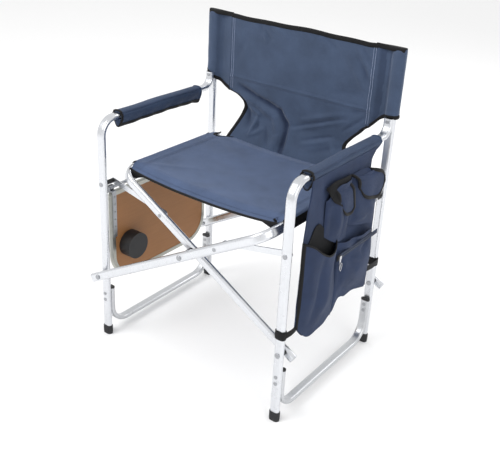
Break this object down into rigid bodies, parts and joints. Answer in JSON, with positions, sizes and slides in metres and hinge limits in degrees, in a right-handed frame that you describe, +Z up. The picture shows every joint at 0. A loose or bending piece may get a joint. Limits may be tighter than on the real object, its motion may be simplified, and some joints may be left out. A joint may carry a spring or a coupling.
{
  "type": "folding director chair",
  "caption": "Folding director chair with flat-oval aluminium tube frame, sling seat and back, padded arms, fold-out side tray with cup holder and a hanging pocket organiser.",
  "frame": {"origin": "middle of the footprint, on the floor under the feet", "axes": "+Z up, the chair faces -Y, the organiser is on the +X side and the tray on the -X side"},
  "size_m": [0.6512, 0.511, 0.851],
  "materials": {
    "aluminium_tube": "satin",
    "aluminium_rail": "brushed",
    "black_plastic": "matte",
    "steel_rivet": "satin",
    "seat_fabric": "woven",
    "back_fabric": "woven",
    "pad_fabric": "woven",
    "organiser_fabric": "woven",
    "black_webbing": "webbing",
    "tray_board": "matte",
    "zip_metal": "polished"
  },
  "bodies": {
    "left_frame": {"left_arm_tube": "aluminium_tube", "left_rear_post": "aluminium_tube", "left_lower_rail": "aluminium_rail", "left_foot_caps": "black_plastic", "left_rail_plugs": "black_plastic", "left_frame_rivets": "steel_rivet", "left_arm_pad": "pad_fabric", "left_back_sleeve": "back_fabric", "left_pivot_pins": "steel_rivet", "left_leg_spacers": "black_plastic", "left_stay_pins": "steel_rivet", "tray_hinge_rail": "aluminium_rail", "tray_hinge_blocks": "black_plastic", "back_centre": "back_fabric", "back_lower": "back_fabric"},
    "right_frame": {"right_arm_tube": "aluminium_tube", "right_rear_post": "aluminium_tube", "right_lower_rail": "aluminium_rail", "right_foot_caps": "black_plastic", "right_rail_plugs": "black_plastic", "right_frame_rivets": "steel_rivet", "right_arm_pad": "pad_fabric", "right_back_sleeve": "back_fabric", "right_pivot_pins": "steel_rivet", "right_leg_spacers": "black_plastic", "right_stay_pins": "steel_rivet", "organiser_panel": "organiser_fabric", "bottle_pocket": "organiser_fabric", "small_pocket": "organiser_fabric", "large_pocket": "organiser_fabric", "zip_pocket": "organiser_fabric", "zip_track": "black_webbing", "organiser_straps": "black_webbing"},
    "right_seat_frame": {"right_seat_tube": "aluminium_tube", "right_rail_sleeve": "seat_fabric", "cross_pins": "steel_rivet", "cross_spacers": "black_plastic", "right_tube_rivets": "steel_rivet", "right_stand_off": "black_plastic", "seat_centre": "seat_fabric"},
    "left_seat_frame": {"left_seat_tube": "aluminium_tube", "left_rail_sleeve": "seat_fabric", "left_tube_rivets": "steel_rivet", "left_stand_off": "black_plastic"},
    "left_stay_links": {"left_stays": "aluminium_tube", "left_stay_end_rivets": "steel_rivet"},
    "right_stay_links": {"right_stays": "aluminium_tube", "right_stay_end_rivets": "steel_rivet"},
    "left_seat_half": {"left_seat_panel": "seat_fabric"},
    "right_seat_half": {"right_seat_panel": "seat_fabric"},
    "left_back_half": {"left_back_panel": "back_fabric"},
    "right_back_half": {"right_back_panel": "back_fabric"},
    "tray": {"tray_edging": "aluminium_rail", "tray_board": "tray_board", "cup_holder": "black_plastic", "tray_hinge_straps": "aluminium_rail"},
    "small_flap_body": {"small_flap": "organiser_fabric"},
    "large_flap_body": {"large_flap": "organiser_fabric"},
    "zip_slider_body": {"zip_slider": "zip_metal"}
  },
  "joints": [
    {"name": "fold", "type": "hinge", "parent": "left_frame", "child": "right_seat_frame", "pos_m": [-0.289, 0, 0.194], "axis": [0, -1, 0], "range_deg": [0, 46.24], "deforming": ["seat_centre", "back_centre", "back_lower"]},
    {"name": "cross_pivot", "type": "hinge", "parent": "right_seat_frame", "child": "left_seat_frame", "pos_m": [0, 0, 0.36], "axis": [0, 1, 0], "range_deg": [0, 92.6]},
    {"name": "right_leg_pivot", "type": "hinge", "parent": "left_seat_frame", "child": "right_frame", "pos_m": [0.289, 0, 0.194], "axis": [0, -1, 0], "range_deg": [0, 46.4]},
    {"name": "left_stay_swing", "type": "hinge", "parent": "left_frame", "child": "left_stay_links", "pos_m": [-0.289, 0, 0.4594], "axis": [0, -1, 0], "range_deg": [0, 86.2]},
    {"name": "right_stay_swing", "type": "hinge", "parent": "right_frame", "child": "right_stay_links", "pos_m": [0.289, 0, 0.4594], "axis": [0, 1, 0], "range_deg": [0, 86.2]},
    {"name": "left_seat_drop", "type": "hinge", "parent": "left_seat_frame", "child": "left_seat_half", "pos_m": [-0.24453, 0, 0.50046], "axis": [0, 1, 0], "range_deg": [0, 27.8]},
    {"name": "right_seat_drop", "type": "hinge", "parent": "right_seat_frame", "child": "right_seat_half", "pos_m": [0.24453, 0, 0.50046], "axis": [0, -1, 0], "range_deg": [0, 27.8]},
    {"name": "left_back_swing", "type": "hinge", "parent": "left_frame", "child": "left_back_half", "pos_m": [-0.289, 0.221, 0.7], "axis": [0, 0, 1], "range_deg": [0, 74.1]},
    {"name": "right_back_swing", "type": "hinge", "parent": "right_frame", "child": "right_back_half", "pos_m": [0.289, 0.221, 0.7], "axis": [0, 0, -1], "range_deg": [0, 74.1]},
    {"name": "tray_hinge", "type": "hinge", "parent": "left_frame", "child": "tray", "pos_m": [-0.289, 0, 0.442], "axis": [0, 1, 0], "range_deg": [0, 90]},
    {"name": "small_flap_hinge", "type": "hinge", "parent": "right_frame", "child": "small_flap_body", "pos_m": [0.3088, -0.045, 0.59], "axis": [0, -1, 0], "range_deg": [0, 90]},
    {"name": "large_flap_hinge", "type": "hinge", "parent": "right_frame", "child": "large_flap_body", "pos_m": [0.3088, 0.066, 0.596], "axis": [0, -1, 0], "range_deg": [0, 90]},
    {"name": "zip_slide", "type": "slide", "parent": "right_frame", "child": "zip_slider_body", "axis": [0, 1, 0], "range_m": [0, 0.16]}
  ],
  "couplings": [
    {"joint": "cross_pivot", "follows": "fold", "ratio": 2},
    {"joint": "right_leg_pivot", "follows": "fold", "ratio": 1},
    {"joint": "left_stay_swing", "follows": "fold", "ratio": 1.8599},
    {"joint": "right_stay_swing", "follows": "fold", "ratio": 1.8599},
    {"joint": "left_seat_drop", "follows": "fold", "ratio": 0.5989},
    {"joint": "right_seat_drop", "follows": "fold", "ratio": 0.5989},
    {"joint": "left_back_swing", "follows": "fold", "ratio": 1.5989},
    {"joint": "right_back_swing", "follows": "fold", "ratio": 1.5989}
  ]
}
